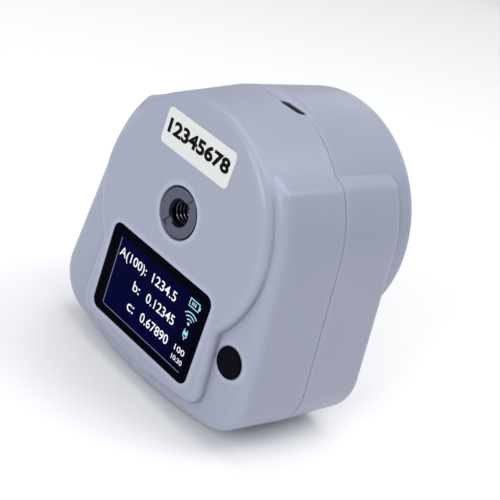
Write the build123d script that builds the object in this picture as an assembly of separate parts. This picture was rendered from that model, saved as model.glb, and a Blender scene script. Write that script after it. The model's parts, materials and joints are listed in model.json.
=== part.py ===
from build123d import *
import math
import os

# Handheld colorimeter for displays, standing upright on its slightly crowned underside.
# Row frame, in mm: +X to the right as seen from the screen side, +Y from the screen
# towards the measuring barrel, +Z up. The origin is at the middle of the footprint.
# Depths are counted from the rear panel's face, along +Y. Heights in the sketches are
# counted from the optical axis.

# Overall form
DEPTH = 55.5                # rear panel to the barrel's rim
PARTING = 24.8              # depth of the joint between the two shells
HEAD_RADIUS = 34.8          # round upper part, at the joint and forwards
HEAD_DRAFT = 6.0            # degrees, narrows the head towards the screen
CHEEK_STEP = 1.8            # how far the lower part's cheeks stand out from the head
BLOCK_DRAFT = 3.2           # degrees, narrows the lower part towards the screen
BLOCK_FLARE = 7.2           # degrees, how far the flanks lean outwards below the cheeks
BLOCK_CORNER = 14.0         # lower corners
BLOCK_FRONT = 48.0          # depth of the lower part's front face
UNDERSIDE_RADIUS = 132.0    # the underside is slightly crowned from left to right
SHOULDER_ANGLE = 38.5       # degrees above the horizontal where the cheeks end
SHOULDER_RAMP = 32.0        # degrees, slope of the cheek's run-out into the head
SHOULDER_ROUND = 4.0
RECESS = 2.8                # how far the lower part's rear face lies behind the panel
PANEL_FLARE = 4.4           # degrees
PANEL_SIDE = 4.4            # panel beyond the window's sides
PANEL_FOOT = 5.9            # panel below the window
BLOCK_FOOT = 6.4            # lower part below the panel
PANEL_CORNER = 5.0
PANEL_BLEND = 2.0           # hollow rounding between the head and the panel
PANEL_ROUND = 2.3           # rounding of the panel's edge
BLOCK_ROUND = 3.4           # rounding of the lower part's rear edge
BLOCK_FRONT_ROUND = 1.6
RIM_ROUND = 1.0             # rounding of the barrel's rim
WALL = 2.2
MARGIN = 1.0                # how far a cutter reaches past a face

# Joint between the shells
LIP_HEIGHT = 1.4
LIP_OVERLAP = 1.1           # wall left outside the lip
LIP_CLEARANCE = 0.1
GROOVE_WIDTH = 0.2
GROOVE_DEPTH = 0.18

# Screws that hold the shells
SHELL_BOSS_RADIUS = 3.4
BOSS_TO_WALL = 0.4
GUSSET = 1.2                # ribs from the bosses to the walls
GUSSET_SETBACK = 3.5        # ribs end below the joint and the main board
UPPER_BOSS_ANGLE = 36.0     # degrees above the horizontal
LOWER_BOSS_ANGLE = 45.0     # degrees, direction from the corner's centre
SHELL_SCREW_RADIUS = 1.45
SHELL_SCREW_LENGTH = 18.0
SHELL_HEAD_RADIUS = 2.75
SHELL_HEAD_HEIGHT = 1.8
SHELL_HEAD_SEAT = 38.2      # depth of the face under the heads
SHELL_SOCKET_SIZE = 2.0     # across flats
INSERT_RADIUS = 2.1
INSERT_BORE = 1.5
INSERT_LENGTH = 5.7
INSERT_SINK = 0.3           # below the boss's face
SCREW_HOLE = 1.7
HEAD_GAP = 0.3              # round a screw head in its counterbore
SOCKET_SHARE = 0.6          # depth of the hexagon in a screw head's height

# Barrel, hood and optics
BULKHEAD = 3.0              # wall that carries the optics
BULKHEAD_REAR = 37.0
HOOD_GAP = 0.2
HOOD_WALL = 1.1
HOOD_SETBACK = 1.2          # hood's front face behind the rim
HOOD_RIM = 2.8              # width of the hood's flat front edge
HOOD_TIP_INSET = 1.0        # hood's narrow end inside the tube's radius
HOOD_TIP_GAP = 0.1          # in front of the lens barrel
HOOD_STEPS = 5
TUBE_WALL = 1.45            # round the lens
TUBE_BORE = 11.2
TUBE_FRONT = 43.0
TUBE_REAR = 30.0
TUBE_FLANGE_RADIUS = 19.0
TUBE_FLANGE = 2.0
TUBE_FOOT_RADIUS = 17.0
TUBE_FOOT = 2.0
TUBE_GAP = 0.2              # round the tube in the bulkhead
LENS_RADIUS = 12.5
LENS_EDGE = 2.0
LENS_BULGE = 1.6
LENS_SEAT = 39.0            # depth of the lens's seat in the tube
LENS_GAP = 0.05
WASHER = 0.5
RING_SLOT_WIDTH = 1.0       # slots for turning the retaining ring
RING_SLOT_DEPTH = 0.7
STOP_PLATE = 0.6
STOP_HOLE = 3.5
CHAMBER_BORE = 6.5          # narrow bore round the filter and the sensor
CHAMBER_LENGTH = 2.6
FILTER_THICKNESS = 1.1
SENSOR_SIZE = 5.0
SENSOR_HEIGHT = 1.0
SENSOR_BOARD_RADIUS = 17.0
BOARD = 1.6
SMALL_SCREW_RADIUS = 0.95
SMALL_HOLE = 1.0
SMALL_HEAD_RADIUS = 1.8
SMALL_HEAD_HEIGHT = 1.2
SMALL_SOCKET = 1.3          # across flats
SMALL_END_GAP = 0.4         # past a small screw's end in its hole
TUBE_SCREW_RING = 16.6
TUBE_SCREWS = 3
TUBE_SCREW_ANGLE = 90.0     # degrees, the first one's place
TUBE_SCREW_BITE = 2.4
SENSOR_SCREW_RING = 14.9
SENSOR_SCREWS = 3
SENSOR_SCREW_ANGLE = 30.0   # degrees, the first one's place
SENSOR_SCREW_BITE = 1.6

# Tripod bush
TRIPOD_RISE = 1.2           # above the optical axis
BUSH_FLANGE_RADIUS = 7.0
BUSH_FLANGE = 1.0
BUSH_SINK = 0.2             # flange below the panel's face
BUSH_FLANGE_GAP = 0.35
BUSH_FLANGE_EDGE = 0.25     # chamfer of the flange
BUSH_RADIUS = 4.76
BUSH_LENGTH = 9.5
BUSH_BORE = 3.2
BUSH_CHAMFER = 0.7          # mouth of the bore
BUSH_SLOT_WIDTH = 1.8
BUSH_SLOT_DEPTH = 0.6
BUSH_SLOT_ANGLE = 52.0
NUT_SIZE = 18.0
NUT_CORNER = 1.0
NUT_HEIGHT = 8.0
NUT_GAP = 0.1
NUT_THREAD_GAP = 0.04
FRAME_WALL = 1.2
FRAME_HEIGHT = 4.0
BRIDGE_WIDTH = 14.0
BRIDGE = 1.2
BRIDGE_CORNER = 2.5
BRIDGE_HOLE = 5.2
BRIDGE_SCREW_X = 14.2
BRIDGE_BOSS_RADIUS = 2.6
BRIDGE_SCREW_BITE = 5.0

# Screen
WINDOW_HEIGHT = 27.2
WINDOW_DROP = 26.1          # screen's middle below the axis
WINDOW_CORNER = 2.7
WINDOW = 1.0
WINDOW_SINK = 0.05
WINDOW_GAP = 0.1
TAPE = 0.15
LEDGE = 2.0                 # rim of the panel under the window's edge
GASKET = 0.3
GASKET_WIDTH = 1.5
LCD = 2.4
LCD_MARGIN = 1.6            # LCD beyond the opening in the panel
CARRIER_WALL = 1.2
CARRIER_GAP = 0.15
FLEX = 0.25
FLEX_WIDTH = 14.0
FLEX_LAP = 6.0
FLEX_BEND = 1.5

# Button
BUTTON_DROP = 25.75
BUTTON_RADIUS = 4.35
BUTTON_TO_CHEEK = 5.85      # from the button's middle to the cheeks' radius
BUTTON_TO_PANEL = 0.85      # from the button's edge to the panel at the screen's middle height
BUTTON_GAP = 0.08
BUTTON_PROUD = 0.6          # above the recessed rear face
BUTTON_DOME = 0.35
BUTTON_FLANGE_RADIUS = 5.1
BUTTON_FLANGE = 0.8
BUTTON_TRAVEL = 0.6
GUIDE_GAP = 0.3
GUIDE_WALL = 1.0
GUIDE_HEIGHT = 1.6
SWITCH_SIZE = 6.0
SWITCH_HEIGHT = 2.6
PLUNGER_RADIUS = 1.7
PLUNGER_GAP = 0.06
PLUNGER_SHOW = 0.9          # plunger above the switch's body, more than the travel
PLUNGER_GUIDE = 1.0
PLUNGER_ROOM = 0.2          # behind the plunger when it is pressed

# Boards
DISPLAY_BOARD = 1.2
DISPLAY_BOARD_TOP = 11.0    # below the axis
BOARD_GAP = 0.9             # from a board's edge to the shell
STANDOFF_TO_CHEEK = 7.1     # from the standoffs to the cheeks' radius
STANDOFF_HIGH = 15.0        # below the axis
STANDOFF_RISE = 5.8         # lower pair above the lower shell screws
STANDOFF_FLATS = 4.5
STANDOFF_BORE = 1.3
STANDOFF_BOSS_RADIUS = 2.75
BOARD_SCREW_RADIUS = 1.22
BOARD_HEAD_RADIUS = 2.1
BOARD_HEAD_HEIGHT = 1.3
BOARD_SCREW_BITE = 4.0
BOARD_HOLE = 1.4
HEADER_WIDTH = 16.0
HEADER_DEEP = 4.0
HEADER_DROP = 17.0
PROCESSOR_SIZE = 10.0
PROCESSOR_HEIGHT = 1.2
PROCESSOR_FROM_TOP = 18.8   # below the head's top
RADIO_WIDTH = 12.0
RADIO_LENGTH = 15.0
RADIO_HEIGHT = 1.8
RADIO_X = 12.0
RADIO_FROM_TOP = 21.8
SOCKET_WIDTH = 10.0
SOCKET_DEEP = 3.5
SOCKET_RISE = 8.0

# Battery
CELL_TO_STANDOFF = 5.5      # from the cell's sides to the standoffs
CELL_HEIGHT = 23.0
CELL_THICKNESS = 8.8
CELL_ROUND = 3.0
CELL_GAP = 0.3
CELL_FOOT = 6.0             # cradle above the underside
CRADLE_FLOOR = 1.2
CRADLE_WALL = 1.1
CRADLE_HEIGHT = 6.0
CRADLE_EAR = 3.0            # plate round the board's screws
PAD = 0.5
CELL_PAD_INSET = 2.0
PLUG_X = 16.0
PLUG_DROP = 7.0
PLUG_WIDTH = 7.0
PLUG_LENGTH = 5.0
PLUG_HEIGHT = 4.0
LEAD_RADIUS = 0.6
LEAD_PITCH = 2.0
LEAD_FROM_FRONT = 1.4

# USB-C port on the joint, at the top
PORT_X = 4.2
PORT_WIDTH = 8.94
PORT_HEIGHT = 3.26
PORT_LENGTH = 7.35
PORT_SHEET = 0.3
PORT_GAP = 0.12
PORT_PAD = 1.6              # shell material round the socket
PORT_PAD_DEPTH = 3.2
SCOOP_LENGTH = 20.0
SCOOP_WIDTH = 9.0
SCOOP_DEPTH = 1.5
SCOOP_ROUND = 3.0
TONGUE_WIDTH = 6.7
TONGUE = 0.7
TONGUE_BASE = 1.4
TONGUE_SETBACK = 0.6

# Label and moulded notch
LABEL_WIDTH = 27.4
LABEL_HEIGHT = 10.2
LABEL_CORNER = 1.5
LABEL = 0.12
LABEL_X = -0.4
LABEL_FROM_TOP = 14.6       # label's middle below the head's top
LABEL_TILT = -0.8
NOTCH_WIDTH = 2.4
NOTCH_HEIGHT = 0.9
NOTCH_DEPTH = 1.0

# Sizes and places that follow from the sizes above
BLOCK_RADIUS = HEAD_RADIUS + CHEEK_STEP
BUTTON_X = BLOCK_RADIUS - BUTTON_TO_CHEEK
PANEL_HALF_WIDTH = BUTTON_X - BUTTON_RADIUS - BUTTON_TO_PANEL
WINDOW_WIDTH = 2 * (PANEL_HALF_WIDTH - PANEL_SIDE)
PANEL_BOTTOM = WINDOW_DROP + WINDOW_HEIGHT / 2 + PANEL_FOOT
AXIS_HEIGHT = PANEL_BOTTOM + BLOCK_FOOT
STANDOFF_X = BLOCK_RADIUS - STANDOFF_TO_CHEEK
CELL_WIDTH = 2 * (STANDOFF_X - CELL_TO_STANDOFF)
PROCESSOR_RISE = HEAD_RADIUS - PROCESSOR_FROM_TOP
RADIO_RISE = HEAD_RADIUS - RADIO_FROM_TOP
LABEL_RISE = HEAD_RADIUS - LABEL_FROM_TOP
TUBE_RADIUS = LENS_RADIUS + LENS_GAP + TUBE_WALL
HOOD_RADIUS = HEAD_RADIUS - WALL - HOOD_GAP
HOOD_MOUTH = HOOD_RADIUS - HOOD_RIM
HOOD_TIP = TUBE_RADIUS - HOOD_TIP_INSET
REAR_Y = (LABEL - DEPTH) / 2
INNER_REAR = WALL
INNER_RECESS = RECESS + WALL
BULKHEAD_FRONT = BULKHEAD_REAR + BULKHEAD
MAIN_FRONT = PARTING - PORT_HEIGHT / 2
MAIN_REAR = MAIN_FRONT - BOARD
BUSH_SEAT = BUSH_SINK + BUSH_FLANGE
NUT_FRONT = INNER_REAR + NUT_HEIGHT
BRIDGE_FRONT = NUT_FRONT + BRIDGE
WINDOW_SEAT = WINDOW_SINK + WINDOW + TAPE
LCD_REAR = INNER_REAR + GASKET
LCD_FRONT = LCD_REAR + LCD
BUTTON_FACE = RECESS - BUTTON_PROUD
BUTTON_BACK = INNER_RECESS + BUTTON_FLANGE
SWITCH_TOP = BUTTON_BACK + PLUNGER_SHOW
DISPLAY_REAR = SWITCH_TOP + SWITCH_HEIGHT
DISPLAY_FRONT = DISPLAY_REAR + DISPLAY_BOARD
CRADLE_FRONT = MAIN_FRONT + CRADLE_FLOOR
CELL_BACK = CRADLE_FRONT + PAD
CELL_MIDDLE = CELL_FOOT + CRADLE_WALL + CELL_GAP + CELL_HEIGHT / 2 - AXIS_HEIGHT
SENSOR_BOARD_REAR = TUBE_REAR - BOARD
HOOD_FRONT = DEPTH - HOOD_SETBACK
HOOD_END = TUBE_FRONT + HOOD_TIP_GAP + HOOD_WALL


def polar(radius, angle):
    """Point at a radius and an angle in degrees."""
    return Vector(radius * math.cos(math.radians(angle)), radius * math.sin(math.radians(angle)))


def section(depth):
    """Sketch plane across the optical axis; its normal points to the rear."""
    return Plane(origin=(0, REAR_Y + depth, AXIS_HEIGHT), x_dir=(1, 0, 0), z_dir=(0, -1, 0))


def slab(sketch, rear, front, draft=0.0):
    """Solid between two depths; the sketch is its front end, and draft narrows it rearwards."""
    return extrude(section(front) * sketch, amount=front - rear, taper=draft)


def disc(radius, rear, front, at=(0, 0)):
    """Round solid along the depth."""
    return slab(Pos(*at) * Circle(radius), rear, front)


def turned(edges):
    """Solid of revolution about the optical axis, from a closed outline of (radius, depth)."""
    plane = Plane(origin=(0, REAR_Y, AXIS_HEIGHT), x_dir=(1, 0, 0), z_dir=(0, 0, 1))
    axis = Axis((0, REAR_Y, AXIS_HEIGHT), (0, 1, 0))
    return revolve(plane * make_face(edges), axis=axis)


def ring(inner, outer, rear, front):
    """Flat ring about the optical axis."""
    return disc(outer, rear, front) - disc(inner, rear, front)


def head_radius(depth):
    """Radius of the head's outside at a depth."""
    behind_joint = max(PARTING - depth, 0.0)
    return HEAD_RADIUS - behind_joint * math.tan(math.radians(HEAD_DRAFT))


def corner_centre():
    """Centre of the lower right corner, the same for every inset."""
    start = polar(BLOCK_RADIUS - BLOCK_CORNER, BLOCK_FLARE)
    down = polar(1, BLOCK_FLARE - 90)
    crown = Vector(0, UNDERSIDE_RADIUS - AXIS_HEIGHT)
    half = down.dot(start - crown)
    rest = (start - crown).dot(start - crown) - (UNDERSIDE_RADIUS - BLOCK_CORNER) ** 2
    return start + down * (math.sqrt(half ** 2 - rest) - half)


def block_face(inset=0.0):
    """Section of the lower part at the joint, moved inwards by inset."""
    radius = BLOCK_RADIUS - inset
    centre = corner_centre()
    corner = BLOCK_CORNER - inset
    shoulder = polar(radius, SHOULDER_ANGLE)
    ramp = polar(radius * math.sin(math.radians(SHOULDER_RAMP)), SHOULDER_ANGLE + 90 + SHOULDER_RAMP)
    ramp_end = shoulder + ramp
    hip = polar(radius, BLOCK_FLARE)
    corner_top = centre + polar(corner, BLOCK_FLARE)
    crown = Vector(0, UNDERSIDE_RADIUS - AXIS_HEIGHT)
    foot_angle = math.degrees(math.atan2(centre.Y - crown.Y, centre.X))
    corner_foot = centre + polar(corner, foot_angle)
    half = Curve() + [
        Line((0, ramp_end.Y), ramp_end),
        Line(ramp_end, shoulder),
        ThreePointArc(shoulder, polar(radius, (SHOULDER_ANGLE + BLOCK_FLARE) / 2), hip),
        Line(hip, corner_top),
        ThreePointArc(corner_top, centre + polar(corner, (BLOCK_FLARE + foot_angle) / 2), corner_foot),
    ]
    underside = ThreePointArc(corner_foot, (0, inset - AXIS_HEIGHT), (-corner_foot.X, corner_foot.Y))
    face = make_face(half + underside + mirror(half, Plane.YZ))
    shoulders = [v for v in face.vertices() if abs(abs(v.X) - shoulder.X) < 0.01 and v.Y > 0]
    return fillet(shoulders, SHOULDER_ROUND)


def housing_face(inset=0.0):
    """Whole section of the housing at the joint."""
    return block_face(inset) + Circle(HEAD_RADIUS - inset)


def plateau_face(inset=0.0):
    """Section of the head and the raised panel where they meet the lower part's rear face."""
    flare = math.tan(math.radians(PANEL_FLARE))
    top_half = PANEL_HALF_WIDTH - inset - WINDOW_DROP * flare
    foot_half = PANEL_HALF_WIDTH - inset + (PANEL_BOTTOM - WINDOW_DROP) * flare
    foot_radius = UNDERSIDE_RADIUS - BLOCK_FOOT - inset
    crown = UNDERSIDE_RADIUS - AXIS_HEIGHT
    foot = crown - math.sqrt(foot_radius ** 2 - foot_half ** 2)
    panel = make_face(Curve() + [
        Polyline((foot_half, foot), (top_half, 0), (-top_half, 0), (-foot_half, foot)),
        ThreePointArc((-foot_half, foot), (0, crown - foot_radius), (foot_half, foot)),
    ])
    panel = fillet(panel.vertices().group_by(Axis.Y)[0], PANEL_CORNER - inset)
    both = panel + Circle(head_radius(RECESS + inset) - inset)
    hollows = [v for v in both.vertices() if abs(v.X) < PANEL_HALF_WIDTH and v.Y < -inset - PANEL_CORNER
               and v.Y > -WINDOW_DROP]
    return fillet(hollows, PANEL_BLEND + inset)


def rear_form(inset=0.0):
    """Outside of the rear half, or its hollow for an inset of one wall."""
    rear = RECESS + inset
    head = slab(Circle(HEAD_RADIUS - inset), rear, PARTING, HEAD_DRAFT)
    plateau = slab(plateau_face(inset), inset, rear, HEAD_DRAFT)
    block = slab(block_face(inset), rear, PARTING, BLOCK_DRAFT)
    if inset == 0.0:
        plateau = fillet(plateau.faces().sort_by(Axis.Y)[0].edges(), PANEL_ROUND)
        block = fillet(block.faces().sort_by(Axis.Y)[0].edges(), BLOCK_ROUND)
    return head + block + plateau


def front_form():
    """Outside of the front half."""
    block = slab(block_face(), PARTING, BLOCK_FRONT)
    block = fillet(block.faces().sort_by(Axis.Y)[-1].edges(), BLOCK_FRONT_ROUND)
    barrel = disc(HEAD_RADIUS, PARTING, DEPTH)
    barrel = fillet(barrel.faces().sort_by(Axis.Y)[-1].edges(), RIM_ROUND)
    return block + barrel


def shell_screw_places():
    """The four places of the screws that hold the shells, right and left."""
    upper = polar(HEAD_RADIUS - WALL - BOSS_TO_WALL - SHELL_BOSS_RADIUS, UPPER_BOSS_ANGLE)
    reach = BLOCK_CORNER - WALL - BOSS_TO_WALL - SHELL_BOSS_RADIUS
    lower = corner_centre() + polar(reach, -LOWER_BOSS_ANGLE)
    return [(side * place.X, place.Y) for place in (upper, lower) for side in (-1, 1)]


def standoff_places():
    """The four places of the board standoffs; the lower pair follows the lower shell screws."""
    low = shell_screw_places()[-1][1] + STANDOFF_RISE
    return [(side * STANDOFF_X, height) for side in (-1, 1) for height in (-STANDOFF_HIGH, low)]


def gussets(rear, front):
    """Ribs from the shell screws' bosses outwards into the walls; the upper ones reach the cheeks."""
    ribs = Part()
    for x, z in shell_screw_places():
        upper = z > 0
        centre = Vector(0, 0) if upper else Vector(math.copysign(corner_centre().X, x), corner_centre().Y)
        outwards = Vector(x, z) - centre
        angle = math.degrees(math.atan2(outwards.Y, outwards.X))
        reach = SHELL_BOSS_RADIUS + BOSS_TO_WALL + WALL / 2 + (CHEEK_STEP if upper else 0)
        rib = Pos(x, z) * Rot(0, 0, angle) * Pos(reach / 2, 0) * Rectangle(reach, GUSSET)
        ribs += slab(rib, rear, front)
    return ribs


def port_cutter():
    """Scoop and slot of the USB port, through both shells."""
    sag = HEAD_RADIUS - math.sqrt(HEAD_RADIUS ** 2 - (SCOOP_LENGTH / 2) ** 2)
    rise = SCOOP_DEPTH - sag
    scoop_radius = ((SCOOP_LENGTH / 2) ** 2 + rise ** 2) / (2 * rise)
    floor = HEAD_RADIUS - SCOOP_DEPTH
    dish = Pos(PORT_X, floor + scoop_radius) * Circle(scoop_radius)
    dish = slab(dish, PARTING - SCOOP_WIDTH / 2, PARTING + SCOOP_WIDTH / 2)
    dish = fillet(dish.edges(), SCOOP_ROUND)
    slot = extrude(port_plane(floor + MARGIN) * port_outline(PORT_GAP), amount=-PORT_LENGTH - MARGIN)
    return dish + slot


def port_plane(rise):
    """Horizontal plane over the port, at a height above the axis."""
    return Plane(origin=(PORT_X, REAR_Y + PARTING, AXIS_HEIGHT + rise), x_dir=(1, 0, 0), z_dir=(0, 0, 1))


def port_pad():
    """Thicker shell round the port's slot, on the inside."""
    pad = Rectangle(SCOOP_LENGTH + 2 * PORT_PAD, PORT_HEIGHT + 2 * PORT_PAD)
    pad = fillet(pad.vertices(), PORT_PAD)
    floor = HEAD_RADIUS - SCOOP_DEPTH
    return extrude(port_plane(floor) * pad, amount=-PORT_PAD_DEPTH)


def rear_shell():
    form = rear_form()
    hollow = rear_form(WALL)
    shell = form - hollow
    # Rebate for the front shell's lip and the fine groove along the joint
    rebate = PARTING - LIP_HEIGHT - LIP_CLEARANCE
    shell -= slab(housing_face(LIP_OVERLAP), rebate, PARTING)
    shell -= slab(housing_face(-MARGIN) - housing_face(GROOVE_DEPTH), PARTING - GROOVE_WIDTH, PARTING)
    # Bosses for the shell screws, the boards and the tripod nut's bridge
    inner = Part()
    for place in shell_screw_places():
        inner += disc(SHELL_BOSS_RADIUS, INNER_REAR, PARTING, place)
    for place in standoff_places():
        inner += disc(STANDOFF_BOSS_RADIUS, INNER_REAR, DISPLAY_REAR, place)
    for side in (-1, 1):
        inner += disc(BRIDGE_BOSS_RADIUS, INNER_REAR, NUT_FRONT, (side * BRIDGE_SCREW_X, TRIPOD_RISE))
    # Frame round the tripod nut and guide ring round the button
    frame_size = NUT_SIZE + 2 * NUT_GAP
    frame = Rectangle(frame_size + 2 * FRAME_WALL, frame_size + 2 * FRAME_WALL)
    frame -= Rectangle(frame_size, frame_size)
    inner += slab(Pos(0, TRIPOD_RISE) * frame, INNER_REAR, INNER_REAR + FRAME_HEIGHT)
    guide = Circle(BUTTON_FLANGE_RADIUS + GUIDE_GAP + GUIDE_WALL) - Circle(BUTTON_FLANGE_RADIUS + GUIDE_GAP)
    inner += slab(Pos(BUTTON_X, -BUTTON_DROP) * guide, INNER_RECESS, INNER_RECESS + GUIDE_HEIGHT)
    shell += inner & form
    shell += gussets(INNER_REAR, PARTING - GUSSET_SETBACK) & rear_form(WALL / 2)
    shell += port_pad() & form
    # Room for the button's flange, and the holes
    flange_room = BUTTON_FLANGE_RADIUS + GUIDE_GAP
    shell -= disc(flange_room, INNER_RECESS, SWITCH_TOP, (BUTTON_X, -BUTTON_DROP))
    for place in shell_screw_places():
        shell -= disc(INSERT_RADIUS, PARTING - INSERT_SINK - INSERT_LENGTH, PARTING, place)
        shell -= disc(SCREW_HOLE, SHELL_HEAD_SEAT - SHELL_SCREW_LENGTH - MARGIN, PARTING, place)
    for place in standoff_places():
        shell -= disc(BOARD_HOLE, DISPLAY_REAR - BOARD_SCREW_BITE, DISPLAY_REAR, place)
    for side in (-1, 1):
        place = (side * BRIDGE_SCREW_X, TRIPOD_RISE)
        shell -= disc(SMALL_HOLE, NUT_FRONT - BRIDGE_SCREW_BITE, NUT_FRONT, place)
    tripod = (0, TRIPOD_RISE)
    shell -= disc(BUSH_FLANGE_RADIUS + BUSH_FLANGE_GAP, -MARGIN, BUSH_SEAT, tripod)
    shell -= disc(BUSH_RADIUS + BUSH_FLANGE_GAP, 0, INNER_REAR, tripod)
    shell -= slab(window_face(WINDOW_GAP), -MARGIN, WINDOW_SEAT)
    shell -= slab(window_face(-LEDGE), 0, INNER_REAR)
    shell -= disc(BUTTON_RADIUS + BUTTON_GAP, 0, INNER_RECESS, (BUTTON_X, -BUTTON_DROP))
    notch = Pos(0, -PANEL_BOTTOM - NOTCH_HEIGHT / 2) * Rectangle(NOTCH_WIDTH, NOTCH_HEIGHT)
    shell -= slab(notch, 0, RECESS + NOTCH_DEPTH)
    return shell - port_cutter()


def window_face(growth):
    """Outline of the display window, grown by a margin."""
    size = (WINDOW_WIDTH + 2 * growth, WINDOW_HEIGHT + 2 * growth)
    return Pos(0, -WINDOW_DROP) * RectangleRounded(*size, WINDOW_CORNER + growth)


def front_shell():
    form = front_form()
    cup_radius = HEAD_RADIUS - WALL
    block_hollow = slab(block_face(WALL), PARTING, BLOCK_FRONT - WALL)
    block_hollow -= disc(HEAD_RADIUS, BULKHEAD_REAR, DEPTH)
    shell = form - block_hollow - disc(cup_radius, PARTING, BULKHEAD_REAR)
    shell -= disc(cup_radius, BULKHEAD_FRONT, DEPTH)
    # Lip that enters the rear shell
    lip = housing_face(LIP_OVERLAP + LIP_CLEARANCE) - housing_face(WALL)
    port_room = Rectangle(SCOOP_LENGTH + 2 * (PORT_PAD + LIP_CLEARANCE), 2 * PORT_PAD_DEPTH)
    lip -= Pos(PORT_X, HEAD_RADIUS - SCOOP_DEPTH) * port_room
    shell += slab(lip, PARTING - LIP_HEIGHT, PARTING)
    # Tubes for the shell screws; the lower ones widen round the counterbores
    tubes = Part()
    for x, z in shell_screw_places():
        tubes += disc(SHELL_BOSS_RADIUS, PARTING, BULKHEAD_REAR, (x, z))
        if z < 0:
            wide = SHELL_HEAD_RADIUS + HEAD_GAP + WALL / 2
            tubes += disc(wide, SHELL_HEAD_SEAT - WALL, BLOCK_FRONT - WALL, (x, z))
    tubes += gussets(PARTING + GUSSET_SETBACK, BULKHEAD_REAR)
    shell += tubes & form
    for x, z in shell_screw_places():
        shell -= disc(SCREW_HOLE, PARTING, SHELL_HEAD_SEAT, (x, z))
        mouth = BLOCK_FRONT if z < 0 else BULKHEAD_FRONT
        shell -= disc(SHELL_HEAD_RADIUS + HEAD_GAP, SHELL_HEAD_SEAT, mouth, (x, z))
    # Opening and screw holes for the lens barrel
    shell -= disc(TUBE_RADIUS + TUBE_GAP, BULKHEAD_REAR, BULKHEAD_FRONT)
    for place in tube_screw_places():
        shell -= disc(SMALL_HOLE, BULKHEAD_REAR, BULKHEAD_REAR + TUBE_SCREW_BITE, place)
    pad = port_pad() & form
    return shell + pad - port_cutter()


def spread(radius, count, first):
    """Points spread evenly on a ring about the axis."""
    return [tuple(polar(radius, first + 360 * i / count))[:2] for i in range(count)]


def tube_screw_places():
    return spread(TUBE_SCREW_RING, TUBE_SCREWS, TUBE_SCREW_ANGLE)


def sensor_screw_places():
    return spread(SENSOR_SCREW_RING, SENSOR_SCREWS, SENSOR_SCREW_ANGLE)


def front_hood():
    """Black stepped funnel in the barrel's mouth, which keeps stray light off the lens."""
    step_in = (HOOD_MOUTH - HOOD_TIP) / HOOD_STEPS
    step_down = (HOOD_FRONT - HOOD_END) / HOOD_STEPS
    seen = []
    hidden = []
    for i in range(HOOD_STEPS):
        radius = HOOD_MOUTH - i * step_in
        top = HOOD_FRONT - i * step_down
        seen += [(radius, top), (radius, top - step_down)]
        hidden += [(radius + HOOD_WALL, top - HOOD_WALL), (radius + HOOD_WALL, top - step_down - HOOD_WALL)]
    seen.append((HOOD_TIP, HOOD_END))
    hidden.append((HOOD_TIP, HOOD_END - HOOD_WALL))
    skirt = HOOD_RADIUS - HOOD_WALL
    points = [(HOOD_RADIUS, BULKHEAD_FRONT), (HOOD_RADIUS, HOOD_FRONT)] + seen + hidden[::-1]
    points += [(skirt, HOOD_FRONT - HOOD_WALL), (skirt, BULKHEAD_FRONT)]
    return turned(Polyline(*points, close=True))


def lens_barrel():
    """Aluminium tube with a flange against the bulkhead and a foot for the sensor board."""
    lens_bore = LENS_RADIUS + LENS_GAP
    flange_rear = BULKHEAD_REAR - TUBE_FLANGE
    chamber_top = TUBE_REAR + CHAMBER_LENGTH
    points = [
        (lens_bore, TUBE_FRONT), (TUBE_RADIUS, TUBE_FRONT),
        (TUBE_RADIUS, BULKHEAD_REAR), (TUBE_FLANGE_RADIUS, BULKHEAD_REAR),
        (TUBE_FLANGE_RADIUS, flange_rear), (TUBE_RADIUS, flange_rear),
        (TUBE_RADIUS, TUBE_REAR + TUBE_FOOT), (TUBE_FOOT_RADIUS, TUBE_REAR + TUBE_FOOT),
        (TUBE_FOOT_RADIUS, TUBE_REAR), (CHAMBER_BORE, TUBE_REAR),
        (CHAMBER_BORE, chamber_top), (TUBE_BORE, chamber_top),
        (TUBE_BORE, LENS_SEAT), (lens_bore, LENS_SEAT),
    ]
    tube = turned(Polyline(*points, close=True))
    for place in tube_screw_places():
        tube -= disc(SMALL_HOLE, flange_rear, BULKHEAD_REAR, place)
    for place in sensor_screw_places():
        tube -= disc(SMALL_HOLE, TUBE_REAR, TUBE_REAR + SENSOR_SCREW_BITE, place)
    return tube


def objective_lens():
    """Biconvex lens; outside the tube's bore its faces are flat bevels for the seat and the washer."""
    front = LENS_SEAT + LENS_EDGE
    half = TUBE_BORE / 2
    sphere = (TUBE_BORE ** 2 + LENS_BULGE ** 2) / (2 * LENS_BULGE)
    half_bulge = LENS_BULGE - (sphere - math.sqrt(sphere ** 2 - half ** 2))
    outline = Curve() + [
        ThreePointArc((0, front + LENS_BULGE), (half, front + half_bulge), (TUBE_BORE, front)),
        Polyline((TUBE_BORE, front), (LENS_RADIUS, front),
                 (LENS_RADIUS, LENS_SEAT), (TUBE_BORE, LENS_SEAT)),
        ThreePointArc((TUBE_BORE, LENS_SEAT), (half, LENS_SEAT - half_bulge), (0, LENS_SEAT - LENS_BULGE)),
        Line((0, LENS_SEAT - LENS_BULGE), (0, front + LENS_BULGE)),
    ]
    return turned(outline)


def retaining_ring():
    rear = LENS_SEAT + LENS_EDGE + WASHER
    body = ring(TUBE_BORE, LENS_RADIUS, rear, TUBE_FRONT)
    slot = Rectangle(2 * LENS_RADIUS, RING_SLOT_WIDTH)
    return body - slab(slot, TUBE_FRONT - RING_SLOT_DEPTH, TUBE_FRONT)


def screw(place, seat, shank, length, head, height, socket, facing=1):
    """Round-headed socket screw along the depth; facing is 1 where its head looks to the rim."""
    def span(shape, start, end):
        return slab(Pos(*place) * shape, *sorted((seat + facing * start, seat + facing * end)))
    body = span(Circle(head), 0, height) + span(Circle(shank), -length, 0)
    hexagon = RegularPolygon(socket / 2, 6, major_radius=False)
    return body - span(hexagon, height * (1 - SOCKET_SHARE), height)


def group(solids):
    """Separate solids in one node."""
    return Compound(children=[solid.solid() for solid in solids])


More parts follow.
